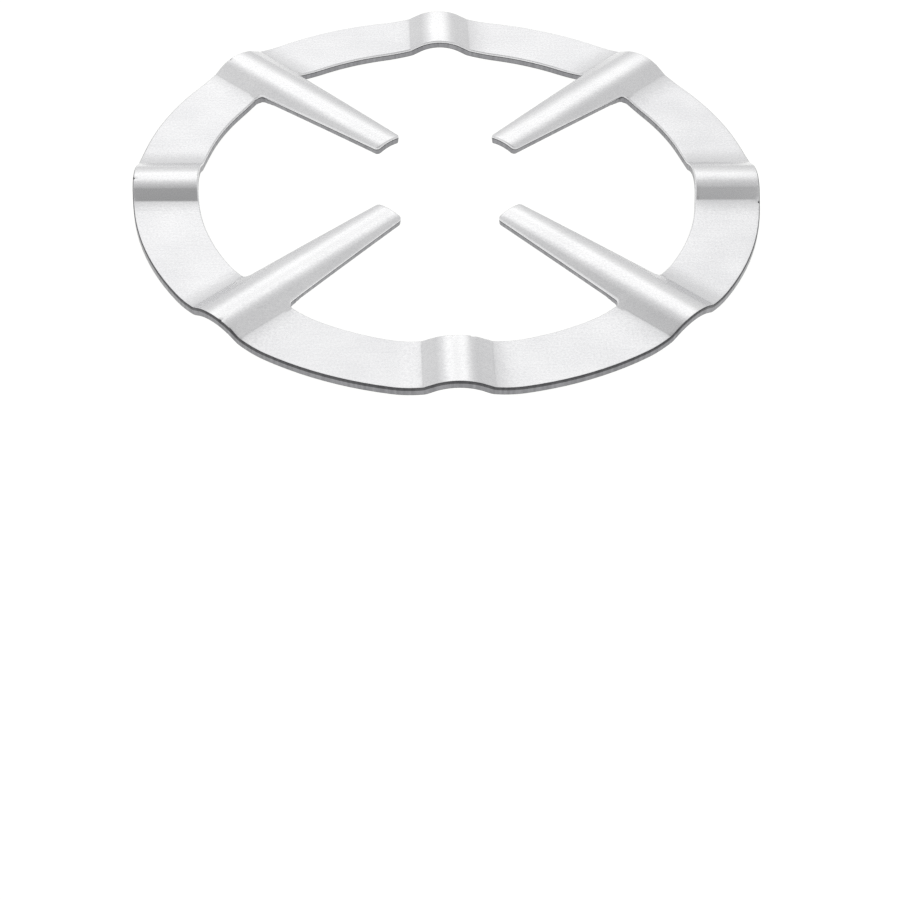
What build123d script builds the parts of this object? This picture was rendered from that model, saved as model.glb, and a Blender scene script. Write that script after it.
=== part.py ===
from build123d import *
from math import cos, hypot, radians, sin, sqrt, tan
import os

# Wok stand, pressed from one sheet of stainless steel: a flat ring with four tapered fingers that
# point inwards on the diagonals, and eight radial ridges pressed upwards, one every 45 degrees.
# Four ridges cross the ring only, and four run on along the fingers to their tips.
# Millimetres and degrees. Z is up, and the ring lies on z = 0 about the origin.

# Ring
ring_diameter = 155.0
opening_diameter = 123.0
sheet_thickness = 2.0

# Ridge section: an arched crown, straight flanks, a foot that bends out of each flank, and a shallow
# run-out that brings the sheet down into the flat ring
ridge_count = 8
ridge_rise = 3.0
crown_inside_radius = 12.5
flank_angle = 27.0
foot_inside_radius = 2.0
run_out_angle = 11.0
run_out_inside_radius = 36.0

# Fingers, measured along the upper edges of their cut sides
tip_circle_diameter = 40.6
finger_tip_width = 8.4
finger_root_width = 14.0
finger_side_lean = 14.0
finger_root_fillet = 1.2
finger_tip_fillet = 1.2

# Upper edges of the opening and the fingers, drawn over by the punch
edge_roll_radius = 0.45

# How far the cutting walls of the blank run past the pressed sheet, above and below
overcut = 1.0

ring_radius = ring_diameter / 2
opening_radius = opening_diameter / 2
ring_middle_radius = (opening_radius + ring_radius) / 2
tip_radius = tip_circle_diameter / 2
ridge_pitch = 360 / ridge_count
crown_height = ridge_rise + sheet_thickness
crown_outside_radius = crown_inside_radius + sheet_thickness
foot_outside_radius = foot_inside_radius + sheet_thickness
run_out_outside_radius = run_out_inside_radius + sheet_thickness

# An edge or a face steeper than this is counted as upright
upright_slope = cos(radians(45))


def half_face_line(top, crown_radius, foot_radius, run_out_radius):
    """Half of one face of the sheet across a ridge, from the crown's middle out to the flat."""
    crown_drop = crown_radius * (1 - cos(radians(flank_angle)))
    foot_drop = foot_radius * (cos(radians(run_out_angle)) - cos(radians(flank_angle)))
    run_out_drop = run_out_radius * (1 - cos(radians(run_out_angle)))
    flank_drop = ridge_rise - crown_drop - foot_drop - run_out_drop
    crown = JernArc((0, top), (1, 0), crown_radius, -flank_angle)
    flank = PolarLine(crown @ 1, flank_drop / sin(radians(flank_angle)), direction=crown % 1)
    foot = JernArc(flank @ 1, flank % 1, foot_radius, flank_angle - run_out_angle)
    run_out = JernArc(foot @ 1, foot % 1, run_out_radius, run_out_angle)
    flat = Line(run_out @ 1, (ring_radius, (run_out @ 1).Y))
    return Curve() + [crown, flank, foot, run_out, flat]


def ridge_section():
    """Section of the pressed sheet across a ridge: two parallel faces one sheet apart."""
    under = half_face_line(ridge_rise, crown_inside_radius, foot_outside_radius, run_out_outside_radius)
    upper = half_face_line(crown_height, crown_outside_radius, foot_inside_radius, run_out_inside_radius)
    middle = Line(under @ 0, upper @ 0)
    end = Line(under @ 1, upper @ 1)
    half = make_face(under + middle + upper + end)
    return half + mirror(half, about=Plane.YZ)


def upper_face_height(offset):
    """Height of the sheet's upper face on crown or flank, at an offset from the ridge's middle."""
    crown_middle = crown_height - crown_outside_radius
    if offset < crown_outside_radius * sin(radians(flank_angle)):
        return crown_middle + sqrt(crown_outside_radius**2 - offset**2)
    flanks_meet = crown_middle + crown_outside_radius / cos(radians(flank_angle))
    return flanks_meet - offset * tan(radians(flank_angle))


def finger_outline(height):
    """Plan of a finger's cutting walls at one height.

    The sides were cut before the ridge was pressed and tilted with the sheet, so they lean
    outwards towards the top.
    """
    def half_width(upper_edge):
        lift = height - upper_face_height(upper_edge)
        return upper_edge + lift * tan(radians(finger_side_lean))

    tip = half_width(finger_tip_width / 2)
    root = half_width(finger_root_width / 2)
    taper = (root - tip) / (opening_radius - tip_radius)
    end = root + taper * (ring_middle_radius - opening_radius)
    tip_side = [(tip_radius, tip), (tip_radius, -tip)]
    ring_side = [(ring_middle_radius, -end), (ring_middle_radius, end)]
    return Pos(0, 0, height) * make_face(Polyline(*tip_side, *ring_side, close=True))


def climbs(edge):
    """True for an edge that climbs the blank's cutting walls."""
    return abs((edge % 0.5).Z) > upright_slope


def ring_eighth():
    """Cutting walls of the eighth of the ring that holds one ridge, about the X axis."""
    edge = ring_diameter * tan(radians(ridge_pitch / 2))
    wedge = make_face(Polyline((0, 0), (ring_diameter, -edge), (ring_diameter, edge), close=True))
    plan = (Circle(ring_radius) - Circle(opening_radius)) & wedge
    return Pos(0, 0, -overcut) * extrude(plan, amount=crown_height + 2 * overcut)


def finger_eighth():
    """Cutting walls of the eighth of the ring that carries a finger."""
    ring = ring_eighth()
    finger = loft([finger_outline(-overcut), finger_outline(crown_height + overcut)], ruled=True)
    tip_corners = finger.edges().filter_by(climbs).group_by(Axis.X)[0]
    finger = fillet(tip_corners, finger_tip_fillet)
    blank = ring + finger
    root_corners = new_edges(ring, finger, combined=blank).filter_by(climbs)
    return fillet(root_corners, finger_root_fillet)


def inside_ring(edge):
    """True for an edge nearer to the axis than the middle of the ring."""
    middle = edge @ 0.5
    return hypot(middle.X, middle.Y) < ring_middle_radius


def opening_rim(stand):
    """Edges where the cut walls of the opening and the fingers meet the upper face of the sheet."""
    walls = stand.faces().filter_by(lambda face: abs(face.normal_at().Z) < upright_slope)
    upper_faces = stand.faces().filter_by(lambda face: face.normal_at().Z > upright_slope)
    upper_rims = ShapeList(set(walls.edges()) & set(upper_faces.edges()))
    return upper_rims.filter_by(inside_ring)


def wok_stand():
    """The whole stand: plain eighths and finger eighths by turns round the ring."""
    pressed_sheet = extrude(Plane.YZ * ridge_section(), amount=ring_diameter)
    plain = pressed_sheet & ring_eighth()
    fingered = pressed_sheet & finger_eighth()
    eighths = [
        Rot(0, 0, index * ridge_pitch) * (fingered if index % 2 else plain)
        for index in range(ridge_count)
    ]
    stand = Part() + eighths
    return fillet(opening_rim(stand), edge_roll_radius)


os.makedirs("parts", exist_ok=True)
export_step(wok_stand(), "parts/wok_stand.step")
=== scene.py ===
"""Studio scene of a wok stand that is pressed from one sheet of stainless steel."""

import logging
import math
from contextlib import contextmanager
from dataclasses import dataclass, field
from enum import Enum
from typing import Any, Callable, Iterator

import bmesh
import bpy
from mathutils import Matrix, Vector


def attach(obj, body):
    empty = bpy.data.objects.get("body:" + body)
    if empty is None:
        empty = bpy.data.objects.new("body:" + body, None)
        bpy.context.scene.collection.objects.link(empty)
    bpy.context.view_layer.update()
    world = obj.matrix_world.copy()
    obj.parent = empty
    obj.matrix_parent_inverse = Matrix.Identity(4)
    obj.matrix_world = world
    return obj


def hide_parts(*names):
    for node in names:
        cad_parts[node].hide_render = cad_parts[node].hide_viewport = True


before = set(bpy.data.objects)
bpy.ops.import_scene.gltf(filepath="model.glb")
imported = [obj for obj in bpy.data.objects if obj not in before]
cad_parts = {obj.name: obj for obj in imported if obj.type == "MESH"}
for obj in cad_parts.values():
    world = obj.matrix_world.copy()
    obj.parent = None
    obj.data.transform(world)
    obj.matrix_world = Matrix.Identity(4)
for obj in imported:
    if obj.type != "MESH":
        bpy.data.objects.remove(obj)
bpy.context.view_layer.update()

# A millimetre in metres, how close two points are that count as one, and how close is near a line
MM = 0.001
MERGE = 0.001 * MM
NEAR = 0.1 * MM
BODY = "root"
NODE = "wok_stand"
LOG = logging.getLogger("wok_stand")

Triple = tuple[float, float, float]
Pairs = tuple[tuple[float, float], ...]
Colour = tuple[float, float, float, float]
Socket = str | int


class Element(Enum):
    """Kinds of mesh element, by the name of their list in a mesh."""

    VERT = "verts"
    EDGE = "edges"
    FACE = "faces"


class SheetFace(Enum):
    """The two faces of the sheet, each formed by its own press tool."""

    UPPER = "upper"
    UNDER = "under"


class Skin(Enum):
    """Finishes of the sheet, by their place in the piece's list of materials."""

    FACE = 0
    BROKEN_EDGE = 1
    # Glossy band whose dark colour is painted shade along the edges and a painted contact shadow under them
    BURNISHED_LIP = 2


def linear(code: str) -> Colour:
    """Turns an sRGB hex code into a linear colour.

    Args:
        code: Six hex digits after a hash sign.

    Returns:
        Red, green, blue and a full alpha.
    """
    shares = [int(code[start:start + 2], 16) / 255 for start in (1, 3, 5)]
    red, green, blue = [s / 12.92 if s <= 0.04045 else ((s + 0.055) / 1.055) ** 2.4 for s in shares]
    return red, green, blue, 1.0


def add_node(tree: bpy.types.NodeTree, kind: str, settings: dict[str, Any] | None = None,
             values: dict[Socket, Any] | None = None,
             links: dict[Socket, Any] | None = None) -> bpy.types.Node:
    """Adds a node with its settings, its socket values and its incoming links.

    Args:
        tree: Node tree that gets the node.
        kind: Blender's name of the node type.
        settings: Properties of the node.
        values: Values of its unlinked inputs, by socket name or number.
        links: Output sockets that feed its inputs, by socket name or number.

    Returns:
        The new node.
    """
    node = tree.nodes.new(kind)
    for name, value in (settings or {}).items():
        setattr(node, name, value)
    for name, value in (values or {}).items():
        node.inputs[name].default_value = value
    for name, output in (links or {}).items():
        tree.links.new(output, node.inputs[name])
    return node


def new_material(name: str) -> tuple[bpy.types.Material, bpy.types.NodeTree]:
    """Makes an empty node material.

    Args:
        name: Name of the material.

    Returns:
        The material and its node tree.
    """
    material = bpy.data.materials.new(name)
    material.use_nodes = True
    material.node_tree.nodes.clear()
    return material, material.node_tree


@contextmanager
def editing(piece: bpy.types.Object) -> Iterator[None]:
    """Keeps one object in edit mode, with nothing else selected.

    Args:
        piece: Object to edit.
    """
    for other in bpy.context.selected_objects:
        other.select_set(False)
    piece.select_set(True)
    bpy.context.view_layer.objects.active = piece
    bpy.ops.object.mode_set(mode="EDIT")
    yield
    bpy.ops.object.mode_set(mode="OBJECT")


def pick(kind: Element, wanted: Callable[[Any], bool]) -> int:
    """Selects the elements of the edited mesh that pass a test, and no others.

    Args:
        kind: Kind of element.
        wanted: Test of one element.

    Returns:
        How many elements are selected.
    """
    bpy.ops.mesh.select_mode(type=kind.name)
    bpy.ops.mesh.select_all(action="DESELECT")
    data = bpy.context.edit_object.data
    mesh = bmesh.from_edit_mesh(data)
    chosen = [element for element in getattr(mesh, kind.value) if wanted(element)]
    for element in chosen:
        element.select_set(True)
    mesh.select_flush_mode()
    bmesh.update_edit_mesh(data, loop_triangles=False, destructive=False)
    return len(chosen)


def pull(offset: Vector) -> None:
    """Extrudes what is selected and moves the new part by an offset."""
    bpy.ops.mesh.extrude_region_move(TRANSFORM_OT_translate={"value": offset})


def move(offset: Vector) -> None:
    """Moves what is selected by an offset."""
    bpy.ops.transform.translate(value=offset)


def squeeze(shares: Triple, about: Triple) -> None:
    """Scales what is selected by a share along each axis, about a point."""
    bpy.ops.transform.resize(value=shares, center_override=about)


def copy_round(count: int) -> None:
    """Repeats what is selected in even steps round the stand's axis.

    Args:
        count: How many there are in the end.
    """
    turn = 2 * math.pi * (count - 1) / count
    bpy.ops.mesh.spin(steps=count - 1, dupli=True, angle=turn, axis=(0, 0, 1), center=(0, 0, 0))


def start_edge(inner: float, outer: float, height: float) -> bpy.types.Object:
    """Makes an edge along X from a plane: the line that a strip of sheet is drawn out from.

    Args:
        inner: Where the edge starts on X.
        outer: Where it ends on X.
        height: Its height.

    Returns:
        The new object, with its place in its mesh.
    """
    side = outer - inner
    bpy.ops.object.select_all(action="DESELECT")
    bpy.ops.mesh.primitive_plane_add(size=side, location=(inner + side / 2, -side / 2, height))
    bpy.ops.object.transform_apply(location=True, rotation=False, scale=False)
    piece = bpy.context.object
    with editing(piece):
        pick(Element.VERT, lambda vert: vert.co.y < -side / 2)
        bpy.ops.mesh.delete(type="VERT")
    return piece


def apply_modifier(piece: bpy.types.Object, kind: str, **settings: Any) -> None:
    """Adds a modifier to an object and applies it.

    Args:
        piece: Object to change.
        kind: Blender's name of the modifier type.
        settings: Properties of the modifier.
    """
    modifier = piece.modifiers.new(kind.lower(), kind)
    for name, value in settings.items():
        setattr(modifier, name, value)
    bpy.context.view_layer.objects.active = piece
    bpy.ops.object.modifier_apply(modifier=modifier.name)


@dataclass(frozen=True)
class RidgeForm:
    """Section of a pressed ridge, and the press tools that give the sheet that form.

    Lengths are in millimetres, and angles in degrees.
    """

    sheet: float = 2.0
    rise: float = 3.0
    crown_inside_radius: float = 12.5
    flank_angle: float = 27.0
    foot_inside_radius: float = 2.0
    run_out_angle: float = 11.0
    run_out_inside_radius: float = 36.0
    count: int = 8
    bend_steps: int = 24
    # Where the tools start and end, from the axis, and by what angle each of their wedges laps over
    tool_start: float = 12.0
    tool_end: float = 82.0
    tool_lap: float = 0.1

    def radii(self, face: SheetFace) -> tuple[float, float, float]:
        """Gives the radii of crown, foot and run-out on one face of the sheet.

        Args:
            face: Face of the sheet.

        Returns:
            Crown radius, foot radius and run-out radius.
        """
        crown, foot, run_out = self.crown_inside_radius, self.foot_inside_radius, self.run_out_inside_radius
        if face is SheetFace.UPPER:
            return crown + self.sheet, foot, run_out
        return crown, foot + self.sheet, run_out + self.sheet

    def tool(self, face: SheetFace) -> bpy.types.Object:
        """Builds the press tool of one face: eight wedges that each hold one ridge.

        Args:
            face: Face of the sheet that the tool forms.

        Returns:
            The tool, which is only a target and no piece of the stand.
        """
        crown, foot, run_out = self.radii(face)
        flat = self.sheet if face is SheetFace.UPPER else 0.0
        top = flat + self.rise
        steep, shallow = math.radians(self.flank_angle), math.radians(self.run_out_angle)
        crown_drop = crown * (1 - math.cos(steep))
        foot_drop = foot * (math.cos(shallow) - math.cos(steep))
        run_out_drop = run_out * (1 - math.cos(shallow))
        flank = (self.rise - crown_drop - foot_drop - run_out_drop) / math.sin(steep)
        along = Vector((0, math.cos(steep), -math.sin(steep)))
        foot_y = crown * math.sin(steep) + flank * math.cos(steep) + foot * math.sin(steep)
        foot_middle = Vector((0, foot_y, flat + run_out_drop + foot * math.cos(shallow)))
        run_out_middle = Vector((0, foot_y + (run_out - foot) * math.sin(shallow), flat + run_out))
        half_wedge = math.radians(180 / self.count + self.tool_lap)

        def bend(angle: float, axis: Triple, middle: Vector) -> None:
            """Draws the line out along an arc."""
            bpy.ops.mesh.spin(steps=self.bend_steps, angle=angle, axis=axis, center=middle)

        tool = start_edge(self.tool_start * MM, self.tool_end * MM, top * MM)
        with editing(tool):
            bpy.ops.mesh.select_all(action="SELECT")
            bend(steep, (1, 0, 0), Vector((0, 0, (top - crown) * MM)))
            pull(along * flank * MM)
            bend(steep - shallow, (-1, 0, 0), foot_middle * MM)
            bend(shallow, (-1, 0, 0), run_out_middle * MM)
            pull(Vector((0, self.tool_end * MM, 0)))
        apply_modifier(tool, "MIRROR", use_axis=(False, True, False), merge_threshold=MERGE)
        with editing(tool):
            for side in (-1, 1):
                bpy.ops.mesh.select_all(action="SELECT")
                edge = (-math.sin(half_wedge), side * math.cos(half_wedge), 0)
                bpy.ops.mesh.bisect(plane_co=(0, 0, 0), plane_no=edge, clear_outer=True)
            bpy.ops.mesh.select_all(action="SELECT")
            copy_round(self.count)
        tool.name = f"press_tool_{face.value}"
        return tool


@dataclass(frozen=True)
class SatinStainless:
    """Rolled stainless sheet with a satin finish.

    Satin rolling gives the eye a pale neutral grey with soft reflections, a pebbled grain, faint streaks
    along the rolling direction and broad clouds. The crowns, which the press rubs, are a little smoother,
    and their colour is painted lighter towards their tops as a painted highlight.
    """

    name: str = "stainless_steel_satin_rolled"
    light: str = "#F4F4F4"
    dark: str = "#D8D8DA"
    smooth: float = 0.16
    rough: float = 0.29
    # Real grain and streaks are a few hundredths of a millimetre wide, too fine to show in the render, so
    # both are drawn as coarse as they need to show
    grain_mm: float = 0.5
    grain_depth_mm: float = 0.012
    grain_detail: float = 3.0
    relief: float = 0.5
    streak_mm: float = 0.35
    streak_length_mm: float = 14.0
    streak_share: float = 0.3
    cloud_mm: float = 14.0
    cloud_share: float = 0.5
    soft_detail: float = 2.0
    # How far below and above their mean the summed patterns reach the darkest and the lightest tone
    darker_spread: float = 0.33
    lighter_spread: float = 0.63
    # Heights between which the crowns turn smoother and lighter, and what that adds to the patterns: the
    # smoother gloss stands for real rubbing, and the lighter colour is a painted highlight
    rub_and_highlight_start_mm: float = 4.55
    rub_and_highlight_end_mm: float = 5.0
    rub_and_highlight_share: float = 0.28

    def material(self) -> bpy.types.Material:
        """Builds the node material.

        Returns:
            The material, with its patterns in object space.
        """
        material, tree = new_material(self.name)
        place = add_node(tree, "ShaderNodeTexCoord").outputs["Object"]
        grain = add_node(tree, "ShaderNodeTexNoise", links={"Vector": place}, values={
            "Scale": 1 / (self.grain_mm * MM), "Detail": self.grain_detail})
        across = 1 / (self.streak_mm * MM)
        brushed = add_node(tree, "ShaderNodeMapping", links={"Vector": place}, values={
            "Scale": (1 / (self.streak_length_mm * MM), across, across)})
        streaks = add_node(tree, "ShaderNodeTexNoise", links={"Vector": brushed.outputs["Vector"]}, values={
            "Scale": 1.0, "Detail": self.soft_detail})
        clouds = add_node(tree, "ShaderNodeTexNoise", links={"Vector": place}, values={
            "Scale": 1 / (self.cloud_mm * MM), "Detail": self.soft_detail})
        fine = add_node(tree, "ShaderNodeMath", {"operation": "MULTIPLY_ADD"}, {1: self.streak_share},
                        {0: streaks.outputs["Fac"], 2: grain.outputs["Fac"]})
        rolled = add_node(tree, "ShaderNodeMath", {"operation": "MULTIPLY_ADD"}, {1: self.cloud_share},
                          {0: clouds.outputs["Fac"], 2: fine.outputs["Value"]})
        sides = add_node(tree, "ShaderNodeSeparateXYZ", links={"Vector": place})
        # Painted highlight: the colour turns lighter towards the crowns' tops, while the smoother gloss
        # there is real rubbing
        rubbed_and_highlit = add_node(tree, "ShaderNodeMapRange", {"interpolation_type": "SMOOTHSTEP"}, values={
            "From Min": self.rub_and_highlight_start_mm * MM, "From Max": self.rub_and_highlight_end_mm * MM},
            links={"Value": sides.outputs["Z"]})
        worn_and_highlit = add_node(tree, "ShaderNodeMath", {"operation": "MULTIPLY_ADD"}, {1: self.rub_and_highlight_share},
                        {0: rubbed_and_highlit.outputs["Result"], 2: rolled.outputs["Value"]})
        middle = (1 + self.streak_share + self.cloud_share) / 2
        tone = add_node(tree, "ShaderNodeMapRange", values={
            "From Min": middle - self.darker_spread, "From Max": middle + self.lighter_spread},
            links={"Value": worn_and_highlit.outputs["Value"]})
        colour = add_node(tree, "ShaderNodeValToRGB", links={"Fac": tone.outputs["Result"]})
        colour.color_ramp.elements[0].color = linear(self.dark)
        colour.color_ramp.elements[1].color = linear(self.light)
        gloss = add_node(tree, "ShaderNodeMapRange", values={"To Min": self.rough, "To Max": self.smooth},
                         links={"Value": tone.outputs["Result"]})
        relief = add_node(tree, "ShaderNodeBump", links={"Height": grain.outputs["Fac"]}, values={
            "Strength": self.relief, "Distance": self.grain_depth_mm * MM})
        shader = add_node(tree, "ShaderNodeBsdfPrincipled", values={"Metallic": 1.0}, links={
            "Base Color": colour.outputs["Color"], "Roughness": gloss.outputs["Result"],
            "Normal": relief.outputs["Normal"]})
        add_node(tree, "ShaderNodeOutputMaterial", links={"Surface": shader.outputs["BSDF"]})
        return material


@dataclass(frozen=True)
class ShearedEdge:
    """Edge of the sheet where the punch broke it off.

    The break gives the eye a band that is darker and duller than the faces, with upright score lines.
    """

    name: str = "stainless_steel_sheared_edge"
    light: str = "#97979A"
    dark: str = "#87878A"
    smooth: float = 0.30
    rough: float = 0.40
    # Real score lines are about a tenth of a millimetre apart, too fine to show in the render, so they are
    # drawn as coarse as they need to show
    score_mm: float = 0.8
    score_height_mm: float = 6.0
    score_detail: float = 3.0
    # Levels of the score pattern between which the tone and the gloss change
    tone_levels: tuple[float, float] = (0.35, 0.65)
    gloss_levels: tuple[float, float] = (0.3, 0.7)

    def material(self) -> bpy.types.Material:
        """Builds the node material.

        Returns:
            The material, with its pattern in object space.
        """
        material, tree = new_material(self.name)
        place = add_node(tree, "ShaderNodeTexCoord").outputs["Object"]
        across = 1 / (self.score_mm * MM)
        upright = add_node(tree, "ShaderNodeMapping", links={"Vector": place}, values={
            "Scale": (across, across, 1 / (self.score_height_mm * MM))})
        scores = add_node(tree, "ShaderNodeTexNoise", links={"Vector": upright.outputs["Vector"]}, values={
            "Scale": 1.0, "Detail": self.score_detail})
        colour = add_node(tree, "ShaderNodeValToRGB", links={"Fac": scores.outputs["Fac"]})
        tones = (self.dark, self.light)
        for stop, level, code in zip(colour.color_ramp.elements, self.tone_levels, tones):
            stop.position = level
            stop.color = linear(code)
        least, most = self.gloss_levels
        gloss = add_node(tree, "ShaderNodeMapRange", links={"Value": scores.outputs["Fac"]}, values={
            "From Min": least, "From Max": most, "To Min": self.rough, "To Max": self.smooth})
        shader = add_node(tree, "ShaderNodeBsdfPrincipled", values={"Metallic": 1.0}, links={
            "Base Color": colour.outputs["Color"], "Roughness": gloss.outputs["Result"]})
        add_node(tree, "ShaderNodeOutputMaterial", links={"Surface": shader.outputs["BSDF"]})
        return material


@dataclass(frozen=True)
class LipWithPaintedShade(ShearedEdge):
    """Upper band of the cut edge, which the punch rubs smooth.

    The rubbing gives a thin glossy band. Its dark colour is painted shade: the dark line along the top
    of the cut edge and over the rim's roll, and a painted contact shadow where the under roll meets the
    table.
    """

    name: str = "stainless_steel_burnished_lip"
    # Dark colours that paint shade along the edges, darker than the steel itself
    light: str = "#5E5E60"
    dark: str = "#505052"
    smooth: float = 0.16
    rough: float = 0.24


@dataclass
class PressedStand:
    """A ring with four fingers, cut flat from sheet, pressed into ridges and rolled at its edges.

    Lengths are in millimetres. One half-quarter of the flat blank is drawn, with a finger along X and a
    short ridge at 45 degrees, and then mirrored and turned round the axis.
    """

    ridge: RidgeForm = field(default_factory=RidgeForm)
    ring_radius: float = 77.5
    opening_radius: float = 61.5
    tip_radius: float = 20.3
    tip_half_width: float = 4.2
    root_half_width: float = 7.0
    corner_radius: float = 1.05
    corner_steps: int = 5
    # Length between the tip's rounded corner and the first row across the finger
    shoulder_gap: float = 0.15
    # Distances from a ridge's axis of the mesh lines along it: over the finger, and beyond it
    finger_stations: tuple[float, ...] = (0.0, 0.5, 1.0, 1.5, 2.0, 2.5, 3.0, 3.5, 4.0, 4.5, 5.0, 7.0)
    foot_stations: tuple[float, ...] = (
        7.4, 7.7, 7.85, 8.0, 8.2, 8.7, 9.3, 10.0, 10.8, 11.6, 12.4, 13.2, 14.0, 15.0)
    # Distance from the finger's axis at which its rounded root ends on the ring
    fillet_reach: float = 8.2
    fillet_rows: int = 2
    fillet_steps: int = 4
    fan_steps: int = 5
    ring_rows: int = 12
    finger_rows: int = 60
    # An edge longer than this share of the finger runs along it
    long_share: float = 0.8
    # Start and end of a stretch of the finger, and the share of its width that the underside has there
    under_narrowing: tuple[Triple, ...] = (
        (0.0, 57.0, 0.92), (57.0, 58.3, 0.935), (58.3, 59.4, 0.95), (59.4, 60.2, 0.965), (60.2, 61.0, 0.98))
    wall_rows: int = 3
    opening_roll: float = 0.42
    rim_roll: float = 0.36
    under_roll: float = 0.2
    roll_steps: int = 4
    # A face of the sheet has a normal that rises or falls by more than this
    rim_slope: float = 0.6
    # How far in from the rim the roll's faces get the painted shade
    rim_roll_shade_reach: float = 0.2
    # Angle in degrees and depth of each nick
    rim_nicks: Pairs = ((226.4, 0.32), (228.7, 0.28), (353.5, 0.34), (136.9, 0.28), (181.0, 0.30))
    opening_nicks: Pairs = ((269.1, 0.26), (273.3, 0.26))
    nick_width: float = 0.52
    nick_reach: float = 0.5
    # How far a nick goes down for its depth, and how far up the normals of its points look at least
    nick_fall: float = 0.5
    nick_facing: float = 0.1

    def taper(self) -> float:
        """How much a finger's half width grows for each length towards its root."""
        return (self.root_half_width - self.tip_half_width) / (self.opening_radius - self.tip_radius)

    def rails(self) -> list[tuple[Vector, Vector]]:
        """Gives the lines that cross the ring, from the finger's axis to the short ridge's axis.

        Returns:
            The inner and outer end of each line: side by side along both ridges, and a fan between them.
        """
        inner, outer = self.opening_radius, self.ring_radius
        offsets = self.finger_stations + self.foot_stations
        angles = [(math.asin(offset / inner), math.asin(offset / outer)) for offset in offsets]
        middle = math.pi / self.ridge.count
        last = angles[-1]
        for step in range(1, self.fan_steps + 1):
            share = step / self.fan_steps
            angles.append(tuple(end + (middle - end) * share for end in last))
        angles += [(2 * middle - a, 2 * middle - b) for a, b in reversed(angles[:-1])]
        return [(Vector((math.cos(a), math.sin(a), 0)) * inner * MM,
                 Vector((math.cos(b), math.sin(b), 0)) * outer * MM) for a, b in angles]

    def draw_ring(self) -> bpy.types.Object:
        """Draws the ring's part of the half-quarter.

        Returns:
            The half-quarter, still without its finger.
        """
        rails = self.rails()
        half_width = (self.ring_radius - self.opening_radius) / 2 * MM

        def crosses_ring(edge: bmesh.types.BMEdge) -> bool:
            """True for a line from the opening to the rim."""
            start, end = edge.verts
            return abs(start.co.length - end.co.length) > half_width

        blank = start_edge(self.opening_radius * MM, self.ring_radius * MM, 0.0)
        with editing(blank):
            bpy.ops.mesh.select_mode(type="EDGE")
            bpy.ops.mesh.select_all(action="SELECT")
            for (inner, outer), (next_inner, next_outer) in zip(rails, rails[1:]):
                # The new line moves with its inner end first, and then its outer end goes to its own place
                pull(next_inner - inner)
                pick(Element.VERT, lambda vert: (vert.co - outer - next_inner + inner).length < MERGE)
                move(next_outer - outer - next_inner + inner)
                ends = (next_inner, next_outer)
                pick(Element.VERT, lambda vert: min((vert.co - end).length for end in ends) < MERGE)
                bpy.ops.mesh.select_mode(type="EDGE")
            pick(Element.EDGE, crosses_ring)
            bpy.ops.mesh.subdivide(number_cuts=self.ring_rows - 1)
        return blank

    def draw_finger(self, blank: bpy.types.Object) -> None:
        """Draws half of the finger out of the ring's inner edge and rounds its tip corner.

        Args:
            blank: Half-quarter of the flat blank.
        """
        rim, side = self.opening_radius * MM, self.root_half_width * MM
        tip = self.tip_radius * MM
        shoulder = (self.tip_radius + self.corner_radius + self.shoulder_gap) * MM
        shoulder_share = (self.tip_half_width + self.taper() * (shoulder - tip) / MM) / self.root_half_width
        tip_share = self.tip_half_width * MM / (side * shoulder_share)

        def on_root(edge: bmesh.types.BMEdge) -> bool:
            """True for the part of the ring's inner edge that the finger grows from."""
            return all(abs(v.co.length - rim) < MERGE and v.co.y < side + MERGE for v in edge.verts)

        with editing(blank):
            pick(Element.EDGE, on_root)
            pull(Vector())
            squeeze((0, shoulder_share, 1), (shoulder, 0, 0))
            pull(Vector((tip - shoulder, 0, 0)))
            squeeze((1, tip_share, 1), (tip, 0, 0))
            pick(Element.VERT, lambda v: v.co.x < tip + MERGE and v.co.y > self.tip_half_width * MM - MERGE)
            bpy.ops.mesh.bevel(offset=self.corner_radius * MM, segments=self.corner_steps,
                               affect="VERTICES")
            pick(Element.EDGE, lambda edge: edge.calc_length() > (rim - shoulder) * self.long_share)
            bpy.ops.mesh.subdivide(number_cuts=self.finger_rows - 1)

    def fill_root(self, blank: bpy.types.Object) -> None:
        """Fills the corner between finger and ring with a rounded gusset.

        Args:
            blank: Half-quarter of the flat blank.
        """
        rim, side, reach = self.opening_radius * MM, self.root_half_width * MM, self.fillet_reach * MM
        root = Vector((math.sqrt(rim ** 2 - side ** 2), side, 0))
        row = (root.x - self.tip_radius * MM) / self.finger_rows
        start_x = root.x - self.fillet_rows * row
        ring_row = (self.ring_radius - self.opening_radius) / self.ring_rows * MM

        def on_corner(vert: bmesh.types.BMVert) -> bool:
            """Finds the corner's points on the finger's side and on the ring's inner edge.

            Args:
                vert: Point of the half-quarter.

            Returns:
                True for a point of the corner.
            """
            on_rim = abs(vert.co.length - rim) < MERGE and side - MERGE < vert.co.y < reach + MERGE
            side_y = side - (root.x - vert.co.x) * self.taper()
            on_side = start_x - row / 2 < vert.co.x < root.x and abs(vert.co.y - side_y) < NEAR
            return on_rim or on_side

        def by_corner(face: bmesh.types.BMFace) -> bool:
            """Finds the gusset and the faces beside it, which become one face so that the roll has room.

            Args:
                face: Face of the half-quarter.

            Returns:
                True for the gusset and for a face beside it.
            """
            middle = face.calc_center_median()
            if middle.length < rim:
                return middle.x > start_x and middle.y > self.finger_stations[-2] * MM
            return middle.length < rim + ring_row and side < middle.y < reach

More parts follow.
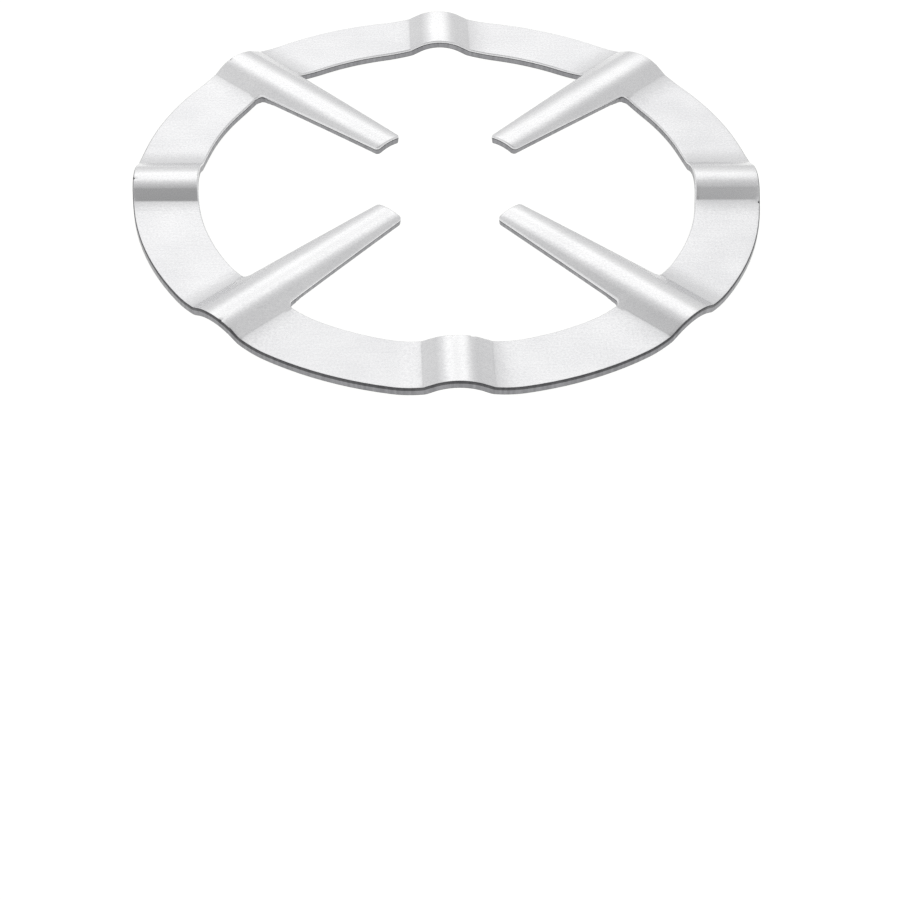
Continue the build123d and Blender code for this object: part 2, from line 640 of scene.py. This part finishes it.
        with editing(blank):
            pick(Element.VERT, on_corner)
            points = [v.co.copy() for v in bmesh.from_edit_mesh(blank.data).verts if v.select]
            bpy.ops.mesh.edge_face_add()
            first, last = min(points, key=lambda p: p.x), max(points, key=lambda p: p.y)
            ends = (first, last)
            pick(Element.EDGE, lambda edge: all(
                min((v.co - end).length for end in ends) < MERGE for v in edge.verts))
            bpy.ops.mesh.subdivide(number_cuts=self.fillet_steps - 1)
            for step in range(1, self.fillet_steps):
                share = step / self.fillet_steps
                straight = first.lerp(last, share)
                turn = math.radians(90) * share
                arc = Vector((first.x + (last.x - first.x) * math.sin(turn),
                              last.y - (last.y - first.y) * math.cos(turn), 0))
                pick(Element.VERT, lambda vert: (vert.co - straight).length < MERGE)
                move(arc - straight)
            pick(Element.FACE, by_corner)
            bpy.ops.mesh.dissolve_faces()

    def thicken(self, blank: bpy.types.Object) -> None:
        """Gives the half-quarter the sheet's thickness and leaves it open where its copies join it.

        Args:
            blank: Half-quarter of the flat blank.
        """
        inside, side = self.opening_radius * MM - MERGE, self.root_half_width * MM + NEAR
        with editing(blank):
            bpy.ops.mesh.select_all(action="SELECT")
            bpy.ops.mesh.normals_make_consistent(inside=False)
            pick(Element.FACE, lambda face: face.normal.z < 0)
            bpy.ops.mesh.flip_normals()
        apply_modifier(blank, "SOLIDIFY", thickness=self.ridge.sheet * MM, offset=1.0,
                       material_offset_rim=Skin.BROKEN_EDGE.value)
        with editing(blank):
            pick(Element.FACE, lambda face: all(v.co.y < MERGE for v in face.verts))
            bpy.ops.mesh.delete(type="FACE")
            pick(Element.FACE, lambda face: all(abs(v.co.x - v.co.y) < MERGE for v in face.verts))
            bpy.ops.mesh.delete(type="FACE")
            for start, end, share in self.under_narrowing:
                pick(Element.VERT, lambda v: v.co.z < MERGE and start * MM <= v.co.x < end * MM
                     and v.co.length < inside and v.co.y < side)
                squeeze((1, share, 1), (0, 0, 0))

    def repeat(self, blank: bpy.types.Object) -> None:
        """Mirrors the half-quarter, turns it round the axis and joins the copies into one closed sheet.

        Args:
            blank: Half-quarter of the flat blank.
        """
        apply_modifier(blank, "MIRROR", use_axis=(False, True, False), merge_threshold=MERGE)
        quarters = self.ridge.count // 2
        pitch = 2 * math.pi / self.ridge.count
        with editing(blank):
            bpy.ops.mesh.select_all(action="SELECT")
            copy_round(quarters)
            bpy.ops.mesh.select_all(action="SELECT")
            bpy.ops.mesh.remove_doubles(threshold=MERGE)
            bpy.ops.mesh.normals_make_consistent(inside=False)
            bpy.ops.transform.rotate(value=pitch, orient_axis="Z", center_override=(0, 0, 0))

    def press(self, blank: bpy.types.Object) -> None:
        """Presses the flat blank between the two tools.

        Args:
            blank: The whole flat blank.
        """
        half = self.ridge.sheet / 2 * MM
        for face in SheetFace:
            above = face is SheetFace.UPPER
            group = blank.vertex_groups.new(name=face.value)
            group.add([v.index for v in blank.data.vertices if (v.co.z > half) == above], 1.0, "REPLACE")
        for face in SheetFace:
            tool = self.ridge.tool(face)
            apply_modifier(blank, "SHRINKWRAP", target=tool, vertex_group=face.value, wrap_method="PROJECT",
                           use_project_z=True, use_positive_direction=True, use_negative_direction=True)
            bpy.data.objects.remove(tool)
        blank.vertex_groups.clear()

    def shear(self, blank: bpy.types.Object) -> None:
        """Divides the cut walls into the lip that the punch burnished and the broken zone below it.

        Args:
            blank: The pressed sheet.
        """
        def on_wall(face: bmesh.types.BMFace) -> bool:
            """True for a face of a cut wall."""
            return face.material_index == Skin.BROKEN_EDGE.value

        def meets_top(face: bmesh.types.BMFace) -> bool:
            """True for a face that shares an edge with the upper face of the sheet."""
            beside = [other for edge in face.edges for other in edge.link_faces]
            return any(other.normal.z > self.rim_slope and not on_wall(other) for other in beside)

        with editing(blank):
            pick(Element.EDGE, lambda edge: all(on_wall(face) for face in edge.link_faces))
            bpy.ops.mesh.subdivide(number_cuts=self.wall_rows - 1)
            pick(Element.FACE, lambda face: on_wall(face) and meets_top(face))
            # Painted shade: the lip's dark finish draws the dark line along the top of each cut wall
            blank.active_material_index = Skin.BURNISHED_LIP.value
            bpy.ops.object.material_slot_assign()

    def roll_edges(self, blank: bpy.types.Object) -> None:
        """Rounds the cut edges: the opening and the rim above, and both less below.

        Args:
            blank: The pressed sheet.
        """
        middle = (self.opening_radius + self.ring_radius) / 2 * MM

        def is_rim(edge: bmesh.types.BMEdge, above: bool) -> bool:
            """Finds the edges between a cut wall and one face of the sheet.

            Args:
                edge: Edge of the sheet.
                above: Whether the upper face is meant, or else the under face.

            Returns:
                True for an edge between them.
            """
            skins = {f.material_index: f for f in edge.link_faces}
            if len(skins) < 2 or Skin.FACE.value not in skins:
                return False
            height = skins[Skin.FACE.value].normal.z
            return height > self.rim_slope if above else height < -self.rim_slope

        def radius(edge: bmesh.types.BMEdge) -> float:
            """Distance of an edge from the stand's axis."""
            return edge.verts[0].co.xy.length

        rolls = ((self.opening_roll, Skin.FACE, lambda e: is_rim(e, True) and radius(e) < middle),
                 (self.rim_roll, Skin.FACE, lambda e: is_rim(e, True) and radius(e) > middle),
                 # The under roll gets the lip's dark finish: a painted contact shadow where the sheet meets
                 # the table
                 (self.under_roll, Skin.BURNISHED_LIP, lambda e: is_rim(e, False)))
        with editing(blank):
            for roll, skin, wanted in rolls:
                pick(Element.EDGE, wanted)
                bpy.ops.mesh.bevel(offset=roll * MM, segments=self.roll_steps, affect="EDGES",
                                   material=skin.value, loop_slide=True)

    def paint_rim_roll_shade(self, blank: bpy.types.Object) -> None:
        """Paints shade over the steeper part of the rim's roll: the roll's faces next to the cut wall get
        the lip's dark finish, a painted dark line along the rim.

        Args:
            blank: The pressed sheet with its edges rolled.
        """
        start = (self.ring_radius - self.rim_roll_shade_reach) * MM

        def by_rim(face: bmesh.types.BMFace) -> bool:
            """True for a face of the rim's roll that lies close to the cut wall."""
            rolled = face.material_index == Skin.FACE.value and face.normal.z > 0
            return rolled and face.calc_center_median().xy.length > start

        with editing(blank):
            pick(Element.FACE, by_rim)
            blank.active_material_index = Skin.BURNISHED_LIP.value
            bpy.ops.object.material_slot_assign()

    def nick(self, blank: bpy.types.Object) -> None:
        """Dents the rolled upper edges by the few small nicks that the press and handling left.

        Args:
            blank: The pressed sheet with its edges rolled.
        """
        rim_nicks = [(self.ring_radius, -1, angle, depth) for angle, depth in self.rim_nicks]
        opening_nicks = [(self.opening_radius, 1, angle, depth) for angle, depth in self.opening_nicks]
        with editing(blank):
            for radius, way, angle, depth in rim_nicks + opening_nicks:
                out = Vector((math.cos(math.radians(angle)), math.sin(math.radians(angle)), 0))
                along = Vector((-out.y, out.x, 0))
                count = pick(Element.VERT, lambda v: v.normal.z > self.nick_facing and v.co.dot(out) > 0
                             and abs(v.co.dot(along)) < self.nick_width / 2 * MM
                             and abs(v.co.dot(out) - radius * MM) < self.nick_reach * MM)
                move((out * way - Vector((0, 0, self.nick_fall))) * depth * MM)
                LOG.info("nick at %.1f degrees: %d points", angle, count)

    def build(self) -> bpy.types.Object:
        """Builds and dresses the stand.

        Returns:
            The finished piece, which stands for the CAD node and rides on its body.
        """
        blank = self.draw_ring()
        # In the order of Skin
        for finish in (SatinStainless(), ShearedEdge(), LipWithPaintedShade()):
            blank.data.materials.append(finish.material())
        self.draw_finger(blank)
        self.fill_root(blank)
        self.thicken(blank)
        self.repeat(blank)
        self.press(blank)
        self.shear(blank)
        self.roll_edges(blank)
        self.paint_rim_roll_shade(blank)
        self.nick(blank)
        bpy.ops.object.shade_smooth()
        apply_modifier(blank, "WEIGHTED_NORMAL", weight=100, keep_sharp=True)
        blank.name = blank.data.name = "pressed_stand"
        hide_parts(NODE)
        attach(blank, BODY)
        return blank


@dataclass(frozen=True)
class LitAcrylic:
    """White acrylic sheet, lit from below.

    The light from below gives the eye an even white, with hardly any shadow left on it.
    """

    name: str = "lit_white_acrylic"
    colour: str = "#7A7A79"
    roughness: float = 0.9
    glow_colour: str = "#FFFFFE"
    glow: float = 0.9

    def material(self) -> bpy.types.Material:
        """Builds the node material.

        Returns:
            The material, which is plain all over.
        """
        material, tree = new_material(self.name)
        shader = add_node(tree, "ShaderNodeBsdfPrincipled", values={
            "Base Color": linear(self.colour), "Roughness": self.roughness,
            "Emission Color": linear(self.glow_colour), "Emission Strength": self.glow})
        add_node(tree, "ShaderNodeOutputMaterial", links={"Surface": shader.outputs["BSDF"]})
        return material


@dataclass
class Studio:
    """White table, light tent and camera of the product shot. Lengths are in millimetres."""

    table_size: float = 6000.0
    # Place of the camera, and its turn in degrees
    camera_place: Triple = (-18.794, -382.082, 275.827)
    camera_turn: Triple = (46.2881, -1.2659, -2.0066)
    lens: float = 74.80
    sensor: float = 36.0
    # Direction of the panel's middle, and the light's levels by the distance from there
    panel_middle: Triple = (0.0, 0.766, 0.643)
    panel_levels: Pairs = (
        (0.0, 1.08), (0.06, 1.12), (0.12, 1.24), (0.16, 1.30), (0.21, 1.23), (0.26, 1.07), (0.31, 0.93),
        (0.36, 0.84), (0.45, 0.77), (0.60, 0.80), (1.0, 0.86))
    # Direction of the cloth's top, the light's levels by the height towards it, and what the right adds
    cloth_top: Triple = (-0.08, 0.0, 0.997)
    cloth_levels: Pairs = (
        (0.0, 0.92), (0.10, 0.97), (0.22, 1.10), (0.32, 1.09), (0.40, 1.01), (0.50, 1.01), (0.64, 0.98),
        (0.88, 0.96), (1.0, 0.39))
    cloth_lean: float = -0.10

    def table(self) -> None:
        """Lays the white table that the stand rests on."""
        bpy.ops.object.select_all(action="DESELECT")
        bpy.ops.mesh.primitive_plane_add(size=self.table_size * MM)
        floor = bpy.context.object
        floor.name = "table"
        floor.data.materials.append(LitAcrylic().material())
        LOG.info("table: %.1f m", self.table_size * MM)

    def light(self) -> None:
        """Hangs the light tent: a soft panel behind, cloth that the table lights and a gap overhead."""
        world = bpy.data.worlds.new("light_tent")
        world.use_nodes = True
        tree = world.node_tree
        tree.nodes.clear()
        direction = add_node(tree, "ShaderNodeTexCoord").outputs["Generated"]
        away = add_node(tree, "ShaderNodeVectorMath", {"operation": "DISTANCE"}, {1: self.panel_middle},
                        {0: direction})
        sides = add_node(tree, "ShaderNodeSeparateXYZ", links={"Vector": direction})
        height = add_node(tree, "ShaderNodeVectorMath", {"operation": "DOT_PRODUCT"}, {1: self.cloth_top},
                          {0: direction})
        panel = add_node(tree, "ShaderNodeValToRGB", links={"Fac": away.outputs["Value"]})
        panel.color_ramp.interpolation = "EASE"
        cloth = add_node(tree, "ShaderNodeValToRGB", links={"Fac": height.outputs["Value"]})
        for ramp, levels in ((panel, self.panel_levels), (cloth, self.cloth_levels)):
            stops = ramp.color_ramp.elements
            while len(stops) < len(levels):
                stops.new(1.0)
            for stop, (place, level) in zip(stops, levels):
                stop.position = place
                stop.color = (level, level, level, 1.0)
        lean = add_node(tree, "ShaderNodeMath", {"operation": "MULTIPLY_ADD"}, {1: self.cloth_lean},
                        {0: sides.outputs["X"], 2: cloth.outputs["Color"]})
        glow = add_node(tree, "ShaderNodeBackground", links={
            "Color": panel.outputs["Color"], "Strength": lean.outputs["Value"]})
        add_node(tree, "ShaderNodeOutputWorld", links={"Surface": glow.outputs["Background"]})
        bpy.context.scene.world = world
        LOG.info("light tent: %d levels", len(self.panel_levels) + len(self.cloth_levels))

    def camera(self) -> None:
        """Sets the camera at the place that the photograph was taken from."""
        camera = bpy.data.cameras.new("camera")
        camera.lens = self.lens
        camera.sensor_width = self.sensor
        camera.clip_start = MM
        holder = bpy.data.objects.new("camera", camera)
        holder.location = Vector(self.camera_place) * MM
        holder.rotation_euler = [math.radians(turn) for turn in self.camera_turn]
        bpy.context.scene.collection.objects.link(holder)
        bpy.context.scene.camera = holder
        LOG.info("camera: %.1f mm lens", self.lens)

    def build(self) -> None:
        """Sets up the table, the light, the camera and a plain view transform."""
        self.table()
        self.light()
        self.camera()
        bpy.context.scene.view_settings.view_transform = "Standard"


def main() -> None:
    """Builds the stand and the studio around it."""
    logging.basicConfig(level=logging.INFO, format="%(name)s %(message)s")
    stand = PressedStand().build()
    LOG.info("%s: %d faces", stand.name, len(stand.data.polygons))
    Studio().build()


if __name__ == "__main__":
    main()
